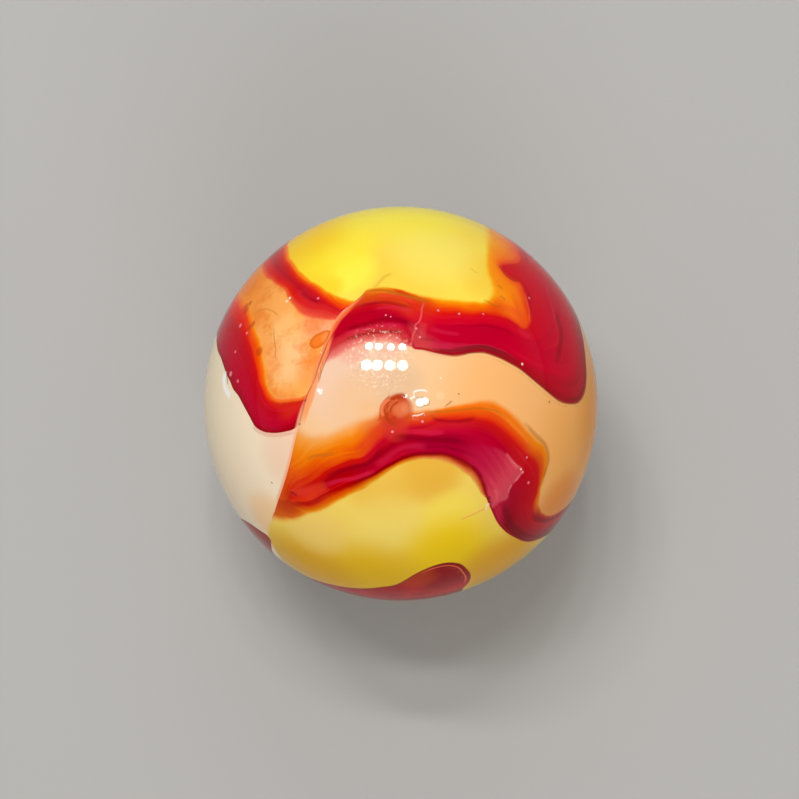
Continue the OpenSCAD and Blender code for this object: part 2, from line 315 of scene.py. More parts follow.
marks["bruise"] = field(
    [(19, -15.5), (22, -18.6), (25.2, -22), (27.2, -25), (29, -28.3), (31, -30.3)],
    [(18, -12.5), (20, -10.3), (24, -10.8), (28, -12.3), (31.5, -14), (35, -16.3), (38.5, -18.8), (37.5, -21),
     (36, -23), (35.3, -25), (35.2, -27.3), (33, -28.3)])
marks["drop"] = field(
    [(-25.4, 15.4), (-23.4, 15.9), (-21.8, 17.9), (-21.3, 20.4)],
    [(-27, 16.5), (-26.3, 18.6), (-24.4, 19.8)])
marks["curl"] = inside([
    (2.6, 1.2), (1, 2.2), (-1, 2.7), (-2.6, 2.2), (-4.1, 1.1), (-5.1, -0.5), (-5.7, -2.8), (-5.8, -5),
    (-5.5, -7), (-3, -9), (1, -8.5), (4, -6), (4.6, -3), (4, -0.5)])
print(f"the flap covers {100 * np.mean(marks['flap'] > 0):.0f}% of the vertices")

# %% [markdown]
# ## Fine lines
# Hair-thin veins, a crack and long streaks lie in and beside the ribbons. A line is thinner than a square of
# the mesh, so a set of lines is stored as two numbers: the distance from the nearest line in half-widths,
# which passes through zero on the line, and a strength that fades out round it and at its ends. Wide lines
# need no sign, and so they may lie close together.

# %% Sets of lines
def lines(name, *drawn):
    """Records lines, each as (half width in degrees, strength, places)."""
    across = np.full(len(spots), 9.0)
    strength = np.zeros(len(spots))
    best = np.zeros(len(spots))
    for half_width, strong, places in drawn:
        offset, share = measure(curve(places))
        taper = np.clip(np.minimum(share, 1 - share) / 0.15, 0, 1)
        here = strong * taper * np.clip(2.2 - np.abs(offset) / max(0.6, 1.2 * half_width), 0, 1)
        apart = (np.abs(offset) if half_width > 0.45 else offset) / half_width
        paint = here * np.clip(1.8 - np.abs(apart), 0.05, 1)
        nearer = paint > best
        best = np.maximum(best, paint)
        across[nearer] = np.clip(apart, -9, 9)[nearer]
        strength[nearer] = here[nearer]
    marks[name + "_across"] = across
    marks[name + "_strength"] = strength
    print(f"{name}: {len(drawn)} lines")


lines("brown_veins",
    (0.2, 0.5, [(-53, 26.2), (-50, 27.3), (-48, 27.5), (-45, 27), (-43.5, 26.5), (-40.5, 25)]),
    (0.22, 0.6, [(-41.3, 21.8), (-40.5, 19.5), (-39.5, 17), (-38.6, 15), (-38.5, 13.5), (-37.2, 11.5)]),
    (0.5, 0.3, [(-10.5, 32.8), (-8.5, 34), (-7, 36), (-5, 38), (-2.5, 38.7)]),
    (0.18, 0.4, [(26, 41.5), (27, 40.8), (28, 39.6), (29.7, 39.5)]),
    (0.4, 1.0, [(-12, 32.4), (-9, 33), (-6, 33), (-1.8, 32), (2.2, 30.9), (6.2, 29.9), (9, 29)]),
    (0.3, 0.6, [(27, 30), (28.5, 29.5), (30.5, 28.4), (32, 28), (33.5, 28)]),
    (0.28, 0.6, [(34, 32), (34.8, 31.2), (36, 30)]),
    (0.28, 0.6, [(35, 35.6), (36, 34.4), (37, 33.6)]),
    (0.3, 0.7, [(6, -2.5), (8, -2.3), (12.8, -2), (16.8, -1.6), (22.3, -1.2), (27, -2), (31, -4.5)]),
    (0.6, 0.7, [(36, -4.6), (41, -8.6), (46, -12), (48.2, -16), (48, -20), (48.3, -24)]),
    (0.2, 0.9, [(11.8, -0.6), (12.8, -0.2), (13.6, 0.4), (14, 1.2)]),
    (0.5, 0.6, [(-28.3, -15.8), (-25.2, -14.4), (-22, -14.2), (-20.4, -13.8), (-18.4, -13.7)]))
lines("light_threads",
    (0.36, 0.9, [(-11.3, 32.3), (-13.5, 29.8), (-16.2, 27.5), (-18, 26), (-19.5, 23.8), (-20.5, 21.8),
     (-21, 19.8), (-22, 17.2), (-22.7, 15), (-23.8, 12), (-24.5, 8.5), (-25.3, 5), (-26, 2)]),
    (0.26, 0.25, [(42.5, 23), (44, 26), (45, 29.5), (45.8, 33)]),
    (0.26, 0.6, [(9.5, -56.9), (12, -55.2), (16.5, -53.2), (22.5, -52.2), (27, -53), (33, -56), (39.5, -59.7),
     (45, -63.7)]),
    (0.3, 0.5, [(29.2, -29.6), (27.6, -30.5), (25.5, -31.6), (23.5, -32.5), (20, -34)]),
    (0.2, 0.3, [(18.5, 13.4), (14, 13), (10, 13.4), (6, 14.3)]))
lines("dark_threads",
    (0.3, 0.8, [(2.5, 15.3), (6.5, 14.7), (11, 13.8), (15.5, 13.3), (20, 14.1), (24, 14.2), (28, 13.1),
     (32.5, 11.2), (35.5, 9.7), (38.5, 7.7), (42.5, 5.1), (46.5, 2.7), (50.5, 0.8), (55.5, 0.1), (61.2, 0.7),
     (65.3, 3.4), (67.8, 7.3), (70, 12), (73, 17)]),
    (0.4, 0.6, [(41.3, 43.5), (40.7, 41), (41.5, 38.3), (44.5, 36.8), (46.5, 36.6)]),
    (0.2, 0.6, [(-21, 18.5), (-22.1, 14.7), (-23, 11.9), (-23.8, 9.3), (-24.2, 7.3), (-25.1, 5.4),
     (-26.3, 3.1), (-27.3, 0.6)]),
    (0.2, 0.5, [(-19.7, 15.5), (-21, 12.7), (-21.7, 11), (-22.5, 8.7), (-23.2, 5.4)]),
    (0.25, 0.35, [(-27.2, 0.8), (-27.8, -1.1), (-28.6, -3.5), (-29.1, -5.7)]),
    (0.4, 0.7, [(-36.5, -25), (-35, -25.6), (-33.8, -26.6)]),
    (0.3, 0.6, [(-60.8, 10.4), (-59.3, 7.6), (-58.2, 5)]))
lines("rose_streaks",
    (0.6, 0.7, [(-17.5, 19.2), (-13.8, 20.2), (-9.2, 21.2), (-4.8, 22), (-0.2, 21.8), (2.2, 21.2)]),
    (0.7, 0.7, [(0.5, -7.8), (2.5, -7.6), (5.5, -7.6), (9.1, -7.9), (12.5, -7.6)]),
    (0.6, 0.6, [(8.2, 21), (13.2, 19.8), (17.8, 19.2)]),
    (0.5, 0.5, [(9.2, 17.8), (12, 17), (15.5, 16.5)]),
    (0.7, 0.6, [(36.8, 21.2), (39.5, 19.6), (41.8, 18.8)]),
    (0.6, 0.8, [(-24, -23.3), (-18.4, -21.5), (-13.8, -20.8), (-10.7, -19.8), (-7, -18.4)]),
    (0.9, 0.6, [(-8, -17.3), (-5.4, -15.9), (-2, -13.4), (0.7, -12), (3.5, -11.6), (8, -11.8)]),
    (0.5, 0.6, [(-8.5, 26.8), (-4, 27.5), (2, 26.5), (4.2, 25.5)]))
lines("dark_streaks",
    (0.5, 0.6, [(-16.8, 18), (-15, 18.2), (-11.5, 19.2), (-7, 20), (-2.5, 20.2), (1.8, 19.5)]),
    (0.7, 0.6, [(-18, 20.5), (-14, 21.5), (-10.2, 22.2), (-7.2, 23.5), (-2.8, 23.8), (2, 22.8), (4.5, 22)]),
    (0.8, 0.8, [(-3, -9.3), (0.5, -8.9), (2.6, -9), (6.1, -9.5), (10.1, -9.8), (13.8, -9.9), (18.5, -10.3)]),
    (0.5, 0.6, [(7.9, -2.9), (9.4, -4.1), (11.5, -4.6), (15.1, -4.8), (18.2, -4.5), (21.5, -3.6)]),
    (1.0, 0.6, [(60, 28), (58.5, 25.5), (57, 20.2), (53.2, 15.2), (50, 11)]),
    (0.9, 0.8, [(33, -27.8), (34.5, -29.3), (38, -33), (43.3, -37.2), (55.5, -41)]),
    (0.6, 0.7, [(-22.5, -20.6), (-18.5, -19), (-14, -17.6), (-9, -16.2), (-6.5, -13.6), (-4, -10.9)]),
    (0.5, 0.8, [(20.4, -17.2), (22.7, -18.9), (24.6, -21.2)]),
    (0.5, 0.6, [(-35, 32.6), (-30.5, 30.4), (-26.5, 29)]),
    (0.5, 0.6, [(-14.8, 27.5), (-10, 28.5), (-5.2, 29), (-0.5, 28.2), (4.2, 27)]))
lines("fire_streaks",
    (0.6, 0.8, [(-8, 31.2), (-4.5, 31.2), (-0.5, 30.8), (3.2, 29.5), (5.2, 28.8)]),
    (1.3, 0.6, [(-37, -25.6), (-32.5, -25.3), (-28, -24.6), (-22, -23)]),
    (0.6, 0.5, [(41.5, 43), (45, 43.6), (50, 44.2), (57, 46.5)]))
lines("orange_streaks",
    (0.5, 0.9, [(22, -0.9), (25.3, -1.5), (28, -2.6), (30.8, -4.4), (33.9, -6.8), (36.8, -8.9),
     (39.5, -11.5)]),
    (0.35, 0.6, [(-31.5, 10.6), (-28.5, 11.4), (-25, 11.8)]),
    (0.5, 0.6, [(-13, 32), (-9, 32.3), (-5, 32.4), (-0.5, 31.6)]))
lines("pink_streaks",
    (0.26, 0.8, [(7.7, 30), (7, 28.3), (6.5, 27), (6.2, 25), (5.4, 23), (4.3, 22), (4.2, 20.5), (3.5, 19),
     (3.2, 17), (3, 15)]),
    (1.0, 0.25, [(6.6, 23), (6.2, 20), (5.6, 17.5)]),
    (0.5, 0.8, [(31, -13.6), (33.7, -16), (36.7, -18.6)]),
    (0.5, 0.6, [(29.5, -24), (31, -26), (31.6, -28.4)]))
lines("curl_dark",
    (0.8, 0.9, [(1.6, 2.1), (0.9, 2.1), (-0.1, 2.1), (-1.1, 1.8), (-2.4, 1), (-3.4, -0.1), (-3.8, -1)]),
    (0.55, 0.9, [(-2.4, 1), (-3.4, -0.1), (-3.9, -1.3), (-4, -2.6), (-3.7, -4), (-2.8, -4.9), (-1.6, -5.6),
     (-0.5, -5.7)]),
    (0.4, 0.8, [(-0.3, 0.5), (-1.3, 0.3), (-2, -0.1), (-2.5, -0.7), (-2.9, -1.6), (-2.9, -2.3)]),
    (0.25, 0.6, [(-2.4, 2.1), (-3.2, 1.9), (-3.9, 1.3), (-4.6, 0.6), (-5.5, -1), (-5.6, -3.1), (-5.7, -4),
     (-6.8, -5)]),
    (0.3, 0.7, [(-1.8, -3), (-1.6, -3.5), (-0.8, -4)]))
lines("curl_light",
    (0.45, 0.9, [(-2.6, 1.6), (-3.2, 1.1), (-4.4, 0.3), (-5.1, -0.8), (-5.2, -1.8), (-4.9, -3),
     (-4.8, -3.9)]),
    (0.3, 0.5, [(-0.5, 1.2), (-1.7, 0.7), (-2.7, -0.3), (-3.3, -1.4), (-3.4, -2.6)]))
# White chipped glass at the left nick; the four short lines round the dish are painted highlights of the
# lamps
lines("white_chips",
    (1.0, 1.0, [(-60.7, 9.6), (-61, 7.2), (-60.2, 5), (-58.4, 3.2), (-55.8, 2)]),
    (0.26, 0.8, [(3, 3), (4.2, 3.5), (5.4, 3.7), (6.6, 3.6), (7.5, 3.1)]),
    (0.32, 0.8, [(2.2, 1.1), (3.2, 1.7), (4.2, 2.2)]),
    (0.3, 0.9, [(1.8, 2.8), (1.5, 2.1), (1.3, 1.3)]),
    (0.2, 0.6, [(2.6, -3.8), (3.6, -3.2), (4.4, -3.2), (5.4, -2.9), (6.6, -2.3)]))

# %% [markdown]
# ## Relief
# The ball isn't quite smooth. The fold left a hair-fine crease, 0.02 mm deep, and the shears that cut the gob
# left a shallow dish beside the curl, 0.03 mm deep and 1 mm wide. Both are pressed into the mesh by moving
# its vertices inwards, so the form is real from every side.

# %% Press the crease and the dish into the ball
CREASE_DEPTH = 0.02e-3
DISH = (3, -1)         # as in the CAD
DISH_REACH = 3.6       # degrees from its middle to its rim
DISH_DEPTH = 0.03e-3
DISH_EDGE = 1.5        # how softly it runs out into the ball
fold_offset, fold_share = measure(curve(fold_line[1:]))
fade = np.clip(np.minimum(fold_share, 1 - fold_share) / 0.1, 0, 1)
crease = CREASE_DEPTH * np.exp(-(fold_offset / 0.6) ** 2) * fade
from_dish = np.degrees(np.arccos(np.clip(spots @ direction(*DISH), -1, 1))) / DISH_REACH
dish = DISH_DEPTH * np.clip(1 - from_dish ** 2, 0, 1) ** DISH_EDGE
skin = spots * (ball_radius - crease - dish)[:, None]
marks["fold"] = fold_offset
print(f"relief: up to {1e6 * (crease + dish).max():.0f} micrometres deep")

# %% Make the mesh and store the numbers on it
ball_mesh = bpy.data.meshes.new("marble_ball")
ball_mesh.from_pydata(skin.tolist(), [], squares.tolist())
ball_mesh.shade_smooth()
flat_net = ball_mesh.uv_layers.new(name="OFBake")
flat_net.data.foreach_set("uv", np.concatenate(net).astype(np.float32).ravel())
for name, values in marks.items():
    mark = ball_mesh.attributes.new(name, "FLOAT", "POINT")
    mark.data.foreach_set("value", values.astype(np.float32))
print(f"stored {len(marks)} numbers at each vertex")

# %% [markdown]
# ## Shader maths as plain expressions
# A material is a graph of nodes. To read like a sum, each socket is wrapped in a small class whose operators
# add Math nodes. Every other node comes from one method, and a second one fills or links a node's sockets.

# %% The wire between two nodes
class Wire:
    """An output socket. Arithmetic on it adds Math nodes to the tree that is being built."""
    tree = None

    def __init__(self, socket):
        self.socket = socket

    @classmethod
    def node(cls, kind, settings=None, sockets=None, out=0):
        made = cls.tree.nodes.new(kind)
        for name, value in (settings or {}).items():
            if name == "stops":
                ramp = made.color_ramp.elements
                while len(ramp) < len(value):
                    ramp.new(0.5)
                for stop, (place, colour) in zip(ramp, value):
                    stop.position, stop.color = place, colour
            else:
                setattr(made, name, value)
        cls.fill(made, sockets or {})
        return cls(made.outputs[out])

    @classmethod
    def fill(cls, node, sockets):
        for name, value in sockets.items():
            if isinstance(value, Wire):
                cls.tree.links.new(value.socket, node.inputs[name])
            else:
                node.inputs[name].default_value = value

    def maths(self, operation, *others):
        return Wire.node("ShaderNodeMath", {"operation": operation}, dict(enumerate((self, *others))))

    def __add__(self, other):
        return self.maths("ADD", other)

    def __sub__(self, other):
        return self.maths("SUBTRACT", other)

    def __rsub__(self, other):
        return Wire.node("ShaderNodeMath", {"operation": "SUBTRACT"}, {0: other, 1: self})

    def __mul__(self, other):
        return self.maths("MULTIPLY", other)

    def __truediv__(self, other):
        return self.maths("DIVIDE", other)

    def __abs__(self):
        return self.maths("ABSOLUTE")

    __radd__ = __add__
    __rmul__ = __mul__


def tone(code):
    """A colour written as in print, such as "#F5DC48", in the linear form that Blender wants."""
    parts = [int(code[i:i + 2], 16) / 255 for i in (1, 3, 5)]
    return [p / 12.92 if p <= 0.04045 else ((p + 0.055) / 1.055) ** 2.4 for p in parts] + [1.0]


def step(value, start, end):
    """0 before start, 1 after end, and a smooth rise between."""
    return Wire.node("ShaderNodeMapRange", {"interpolation_type": "SMOOTHSTEP"},
                     {"Value": value, "From Min": min(start, end), "From Max": max(start, end),
                      "To Min": float(start > end), "To Max": float(start < end)})


def larger(a, b):
    return a.maths("MAXIMUM", b)


def blend(under, over, mask):
    """Colour under, covered by colour over where mask is 1. Either may be a code."""
    under, over = [tone(colour) if isinstance(colour, str) else colour for colour in (under, over)]
    return Wire.node("ShaderNodeMix", {"data_type": "RGBA"}, {0: mask, 6: under, 7: over}, out=2)


glass = bpy.data.materials.new("swirled_glass")
glass.use_nodes = True
Wire.tree = glass.node_tree
print("material:", glass.name)

# %% [markdown]
# ## Reading places in the shader
# The shader works from the object's own coordinates, so the pattern stays on the ball. One helper reads a
# number stored on the mesh, and another gives a soft round patch, from the cosine of the angle to its middle.

# %% Place, marks and patches
where_on_ball = Wire.node("ShaderNodeTexCoord", out="Object")
spot = Wire.node("ShaderNodeVectorMath", {"operation": "NORMALIZE"}, {0: where_on_ball})


def towards(arrow):
    """How far a place lies in the direction of a fixed arrow."""
    return Wire.node("ShaderNodeVectorMath", {"operation": "DOT_PRODUCT"}, {0: spot, 1: arrow}, out="Value")


def mark(name):
    return Wire.node("ShaderNodeAttribute", {"attribute_name": name}, out="Fac")


def patch(place, inner, outer):
    """1 within inner degrees of a place, falling to 0 at outer degrees."""
    return step(towards(direction(*place)), math.cos(math.radians(outer)), math.cos(math.radians(inner)))


def noise(scale, detail=3, roughness=0.5, wave=None):
    """Noise from 0 to 1 over the ball. A wave makes it change along that number too, as streaks do."""
    settings = {"noise_dimensions": "3D" if wave is None else "4D"}
    stretched = Wire.node("ShaderNodeVectorMath", {"operation": "SCALE"}, {0: spot, "Scale": scale})
    values = {"Vector": stretched, "Scale": 1.0, "Detail": detail, "Roughness": roughness}
    if wave is not None:
        values["W"] = wave
    return Wire.node("ShaderNodeTexNoise", settings, values, out=0)


east = towards(EAST).maths("ARCTAN2", towards(BEST_FACE)) * (180 / math.pi)
north = towards(NORTH).maths("ARCSINE") * (180 / math.pi)
flap = step(mark("flap"), -0.12, 0.12)
wobble = noise(9, 3) - 0.5
print("the shader has its places")

# %% [markdown]
# ## Milky, peach, white and yellow glass
# Under the red there are five pale glasses. Each is cloudy, and shifts from place to place as the layers
# below it rise and sink. So each starts from its main colour and takes a few large soft patches of others.

# %% The five pale glasses
def clouded(colour, *patches):
    """A main colour with soft patches, each as (colour, strength, place, inner, outer)."""
    for other, strength, place, inner, outer in patches:
        colour = blend(colour, other, patch(place, inner, outer) * strength)
    return colour


peach = clouded("#F6C593",
    ("#F0C8AC", 0.9, (-14, 9), 4, 20),
    ("#F0C090", 0.8, (-11, 0), 2, 12),
    ("#E4BA90", 0.7, (0, 5), 1, 9),
    ("#F4B070", 0.3, (-8, -3), 0, 6),
    ("#F2A890", 0.8, (-14, 15.5), 1, 6),
    ("#EFA898", 0.6, (-3, 17.5), 1, 5),
    ("#FCB76E", 0.9, (34, 0), 8, 30),
    ("#FBAE54", 0.9, (66, -15), 6, 32),
    ("#F09A28", 0.8, (82, 0), 6, 26),
    ("#EC8428", 0.7, (64, -31), 0, 15),
    ("#E6D6BC", 1.0, (158, 10), 28, 44))
white = clouded("#FAE4C4",
    ("#F6CFB0", 0.9, (-33, -14), 3, 13),
    ("#FBCB92", 0.8, (-50, -35), 2, 12),
    ("#F6E6C4", 0.8, (-80, 2), 8, 30),
    ("#E6D6BC", 0.8, (-140, -10), 20, 60))
orange = clouded("#FDAA56",
    ("#FEC484", 0.95, (-34, 13), 3, 10),
    ("#FEC074", 0.8, (-37, 21), 1, 7),
    ("#F89838", 0.4, (-52, 27.5), 0, 8),
    ("#F88A0C", 0.95, (-72, 35), 6, 19),
    ("#FCA078", 0.8, (-25, 23), 1, 7),
    ("#FC9A50", 0.6, (-26, 9), 0, 6),
    ("#FD9A44", 0.6, (-42, 12), 0, 8))
crown_yellow = clouded("#FCDD50",
    ("#FBD048", 0.8, (0, 37), 3, 17),
    ("#FFF24C", 0.8, (-19, 40), 2, 10),
    ("#FED01C", 0.8, (-34, 39.5), 1, 9),
    ("#FED01C", 0.7, (-25, 34), 1, 6),
    ("#FFE834", 0.8, (-30, 50), 3, 16),
    ("#FCCC10", 0.9, (-58, 54), 5, 22),
    ("#FCCC40", 0.7, (30, 39), 1, 11),
    ("#FAE86C", 0.6, (14, 47), 3, 16),
    ("#FCF040", 0.6, (0, 74), 5, 25))
lower_yellow = clouded("#F8D460",
    ("#ECB23C", 0.9, (8, -18), 4, 13),
    ("#F0BD4C", 0.8, (-6, -24), 3, 12),
    ("#F9DC6C", 0.7, (-4, -38), 3, 15),
    ("#FEE054", 0.9, (17, -33.5), 2, 11),
    ("#F8CE08", 0.95, (20, -47), 3, 18),
    ("#EEBC08", 0.95, (-16, -58), 4, 20),
    ("#E8AC10", 0.95, (-52, -54), 4, 20),
    ("#E8A408", 0.9, (54, -52), 4, 20),
    ("#FAD070", 0.6, (-32, -38), 2, 12))
mottled = step(noise(7, 4, 0.65), 0.54, 0.34)
orange = blend(orange, "#EE7814", mottled * 0.6)
pale_left = blend(white, orange, step(mark("orange_field") + wobble * 1.2, -1, 1))
pale = blend(pale_left, peach, flap)
pale = blend(pale, lower_yellow, step(mark("lower_field") + wobble * 0.6, -0.9, 0.9))
pale = blend(pale, crown_yellow, step(mark("crown_field"), -0.8, 0.8))
print("pale glasses laid")

# %% [markdown]
# ## Red glass
# The thickness of the red glass goes from 0 at the edge of the glow to 1 at the edge of the core. A ramp
# turns it into colour, as thin red glass over yellow looks orange. A ribbon's two sides thin out over
# different glasses, and it changes along its length, so a sweep passes from one ramp to the next from west to
# east. Another ramp goes across the core. Streaks along the ribbon shift both numbers a little, which
# feathers the colours.

# %% Stain the glass with a ribbon
def ramp(value, stops):
    """Colours along a number, written as in "0 #F5DC48, 1.5 #C80A2C"."""
    pairs = [stop.split() for stop in stops.split(", ")]
    first, last = float(pairs[0][0]), float(pairs[-1][0])
    shares = [((float(place) - first) / (last - first), tone(code)) for place, code in pairs]
    return Wire.node("ShaderNodeValToRGB", {"stops": shares}, {0: (value - first) / (last - first)})


def sweep(value, stops, *later):
    """A ramp that changes from west to east: each later one takes over between two longitudes."""
    made = ramp(value, stops)
    for start, end, new_stops in later:
        made = blend(made, ramp(value, new_stops), step(east, start, end))
    return made


def stained(colour, name, near, far, cores, mask):
    """Paints a ribbon over a colour, from sweeps for the glow on its near and far side and for its core."""
    core, glow, across = mark(name + "_core"), mark(name + "_glow"), mark(name + "_across")
    glow = larger(glow, core + 0.3)
    soft = step(glow - core, 0.5, 2.5)
    streaks = noise(1.6, 3, 0.6, wave=across * 9)
    feathers = noise(2.5, 2, 0.5, wave=across * 3)
    core = core + wobble * soft * 1.2
    glow = glow + wobble * soft * 1.6
    thick = glow / (glow - core)
    thick = thick + (feathers - 0.5) * soft * step(thick, 0.0, 0.5) * 0.7
    thin_red = blend(sweep(thick, *near), sweep(thick, *far), step(across, 0.35, 0.65))
    red = sweep(across + (streaks - 0.5) * 0.5, *cores)
    red = blend(red, "#E0304A", step(streaks, 0.58, 0.75) * 0.35)
    red = blend(red, "#6E0010", step(streaks, 0.44, 0.3) * 0.35)
    stain = blend(thin_red, red, step(core + (streaks - 0.5) * 2, -0.3, 1.0))
    print(f"{name} ribbon painted")
    return blend(colour, stain, step(thick, -0.15, 0.15) * mask)


colour = stained(
    pale, "crown",
    ["0 #FE9A00, 0.25 #FC7C00, 0.45 #F36600, 0.6 #E54400, 0.8 #DE2000, 1 #D81008",
     (-40, -26, "0 #FEA010, 0.4 #F46A0C, 0.75 #EC4410, 1 #E52E0C, 1.4 #DD1B16")],
    ["0 #E85F30, 0.2 #E94F20, 0.4 #DC2C10, 0.7 #D81008, 1 #D20A08",
     (-40, -28, "-0.2 #F3724F, 0.2 #E94F38, 0.4 #DD3C30, 0.7 #DA2328, 1 #D01E20")],
    ["0 #CC1018, 0.35 #C00818, 0.6 #B8041C, 1 #C80C20",
     (-36, -26, "0 #D82018, 0.4 #C81020, 0.7 #C40C1C, 1 #CC1824")],
    1.0)
colour = stained(
    colour, "upper",
    ["-0.1 #F0987C, 0.2 #E6746C, 0.4 #D65450, 0.6 #C63434, 0.8 #CC2C34, 1 #C4142C, 1.15 #AC001B"],
    ["0 #F8A826, 0.35 #EC8C14, 0.65 #DE700C, 1 #D4580A, 1.3 #D4480E",
     (-6, 0, "0 #F09018, 0.1 #E57110, 0.25 #D6480A, 0.5 #D63E10, 0.8 #D82E12, 1.3 #D82020"),
     (6, 14, "0 #FEB410, 0.15 #FA9408, 0.35 #F46C06, 0.55 #EE5008, 0.75 #E6340C, 0.92 #DA1810, 1.05 #D40A14"),
     (30, 38, "0 #FEB010, 0.2 #FE9C0C, 0.6 #FE8408, 0.8 #F86410, 0.95 #EC3C10, 1.05 #D81010, 1.2 #D00014")],
    ["0 #B0041E, 0.2 #BC0020, 0.45 #B4001E, 0.65 #C40A16, 0.85 #D44012, 1 #D8600E",
     (-10, -2, "0 #B80028, 0.3 #B20024, 0.5 #C60C20, 0.7 #D42A18, 1 #D6440E"),
     (1, 5, "0 #D04A48, 0.3 #CC2C3A, 0.45 #BE0F28, 0.6 #D01226, 1 #D6201A"),
     (6, 12, "0 #7E1A1E, 0.13 #9C1A2A, 0.17 #C62444, 0.22 #C20028, 0.7 #BD0027, 0.85 #D20422, 1 #D81520"),
     (26, 38, "0 #8A1410, 0.1 #B4081C, 0.3 #CE0028, 0.55 #C80028, 0.75 #D20028, 0.95 #D00818, 1 #D81810")],
    flap)
colour = stained(
    colour, "lower",
    ["0 #F0941C, 0.15 #DC6410, 0.4 #D04808, 0.7 #C43A08, 1 #BE3008",
     (-40, -30, "0 #F8A830, 0.15 #EC8C10, 0.35 #E06800, 0.6 #E04C02, 0.8 #C82002, 1 #B00400"),
     (-20, -8, "0 #E8A838, 0.25 #E08C18, 0.5 #D86408, 0.7 #C84808, 0.85 #A81C08, 1 #900006"),
     (0, 8, "0 #E8A848, 0.25 #E08440, 0.5 #D05A28, 0.75 #A82414, 1 #8C0410")],
    ["0 #F09A30, 0.3 #EA6A0C, 0.6 #E05408, 1 #CC3A06",
     (-42, -32, "0 #F4AC68, 0.2 #F49A3C, 0.4 #F28410, 0.6 #EE6C04, 0.75 #E44C06, 0.9 #D82808, 1 #C81008"),
     (-14, -6, "0 #EE9048, 0.2 #E27034, 0.4 #DE5020, 0.6 #DA3C18, 0.8 #D02020, 1 #C00424"),
     (5, 14, "0 #FC9030, 0.15 #F57814, 0.35 #EE600C, 0.6 #EA4A10, 0.8 #E03010, 1 #D01414"),
     (34, 42, "0 #F49010, 0.35 #F07408, 0.5 #E45C0C, 0.7 #DC400C, 0.85 #D01C10, 1 #C80814"),
     (48, 54, "0 #D86818, 0.3 #BC2818, 0.6 #A8101C, 1 #980418")],
    ["0 #DC2A04, 0.3 #EA3404, 0.5 #D80E00, 1 #D00200",
     (-30, -21, "0 #B80008, 0.2 #C80004, 0.5 #AC000A, 0.8 #AC0006, 1 #CC1008"),
     (-17, -8, "0 #9C0008, 0.15 #C20426, 0.35 #B0001E, 0.7 #A8001A, 0.9 #BA0818, 1 #D01418"),
     (0, 8, "0 #9A0018, 0.15 #AE002E, 0.4 #A2002A, 0.55 #AA0028, 0.7 #C4062E, 1 #CC1C22"),
     (15, 24, "0 #A01820, 0.12 #C4183C, 0.4 #B80832, 0.7 #BE0028, 1 #C81412"),
     (33, 40, "0 #80000C, 0.3 #8A0014, 0.45 #A4001C, 0.7 #BC001C, 1 #CC0814")],
    flap)
left_glow = ["0 #FE9A10, 0.3 #FE6A00, 0.5 #EE3400, 0.7 #E60E00, 1 #E00200",
             (-56, -48, "-0.2 #FEB03C, 0 #FEA520, 0.15 #FE8400, 0.3 #FE6800, 0.5 #F65000, 0.7 #EC3A00, "
                        "0.85 #E00808, 1 #D60410"),
             (-42, -35, "0 #FCA060, 0.2 #F67830, 0.5 #EE5818, 0.62 #CC3410, 0.75 #D02818, 1 #D42018")]
halo = patch((-39, -11), 7, 9.5)
colour = blend(colour, "#F0B098", step(mark("left_core"), -1.5, -0.9) * halo * 0.7)
colour = blend(colour, "#C08060", step(abs(mark("left_core") + 1.3), 0.35, 0.1) * halo * 0.25)
colour = stained(
    colour, "left", left_glow, ["0 #A81018, 1 #98000E"],
    ["0 #D00810, 0.25 #C4001C, 0.5 #C40028, 0.8 #BC002C, 1 #A8001C",
     (-38, -32, "0 #D72914, 0.4 #D31E1C, 0.65 #C80A20, 0.85 #B40018, 1 #A80014")],
    1 - flap)

# %% The under ribbon and its rim
under = mark("under_core")
under_red = blend("#B00410", "#C81010", step(noise(6, 3, 0.6), 0.45, 0.65))
under_red = clouded(under_red, ("#8C0410", 0.8, (27, -56), 3, 13), ("#C04010", 0.7, (8, -58.5), 1, 8))
under_red = blend(under_red, "#A02808", patch((-66, -42), 4, 9))
colour = blend(colour, "#8A2A10", step(under, -0.5, -0.1))
colour = blend(colour, under_red, step(under, -0.1, 0.25))
print("under ribbon painted")

# %% [markdown]
# ## The bruise
# Where the lower ribbon bends, a thin flake of glass has lifted under the skin. It looks lighter and pinker,
# in feathery streaks that run down to the right, and its far edge is broken.

# %% Bruise
down_right = east * 0.7 - north * 0.7
bruise = mark("bruise") + (noise(16, 2) - 0.5) * 1.6
flake = noise(2, 4, 0.65, wave=(east + north) * 0.5)
flake_pink = ramp(down_right + (flake - 0.5) * 16,
                  "22 #BC0A3C, 28 #C01840, 33 #CC2C48, 37 #DC4054, 43 #D8505C")
flake_there = step(bruise, -0.4, 0.8) * step(down_right + (flake - 0.5) * 10, 21, 28) * flap
colour = blend(colour, flake_pink, flake_there * 0.85)
flake_edge = step(abs(bruise - 0.35), 0.45, 0.1) * step(flake, 0.4, 0.6) * patch((37.5, -21), 3, 8)
colour = blend(colour, "#EE7C80", flake_edge * 0.7)
print("bruise painted")

# %% [markdown]
# ## The curl
# The curl is the end of the stream that was pinched off. Brown and orange ridges bend round a peach heart,
# which is open to the right and runs down into the red.

# %% Curl
curl = mark("curl") + wobble * 0.9
colour = blend(colour, "#CE4820", step(curl, -0.6, 0.9) * patch((-2.4, -1.6), 4.5, 6.5) * 0.95)
colour = blend(colour, "#D03028", patch((-1.5, -6.6), 1.5, 4.5) * flap * 0.8)
colour = clouded(colour, ("#E47848", 0.75, (-0.2, -1.7), 0, 2.7), ("#F0A070", 0.3, (1.8, -1.0), 0, 2.4))
print("curl painted")
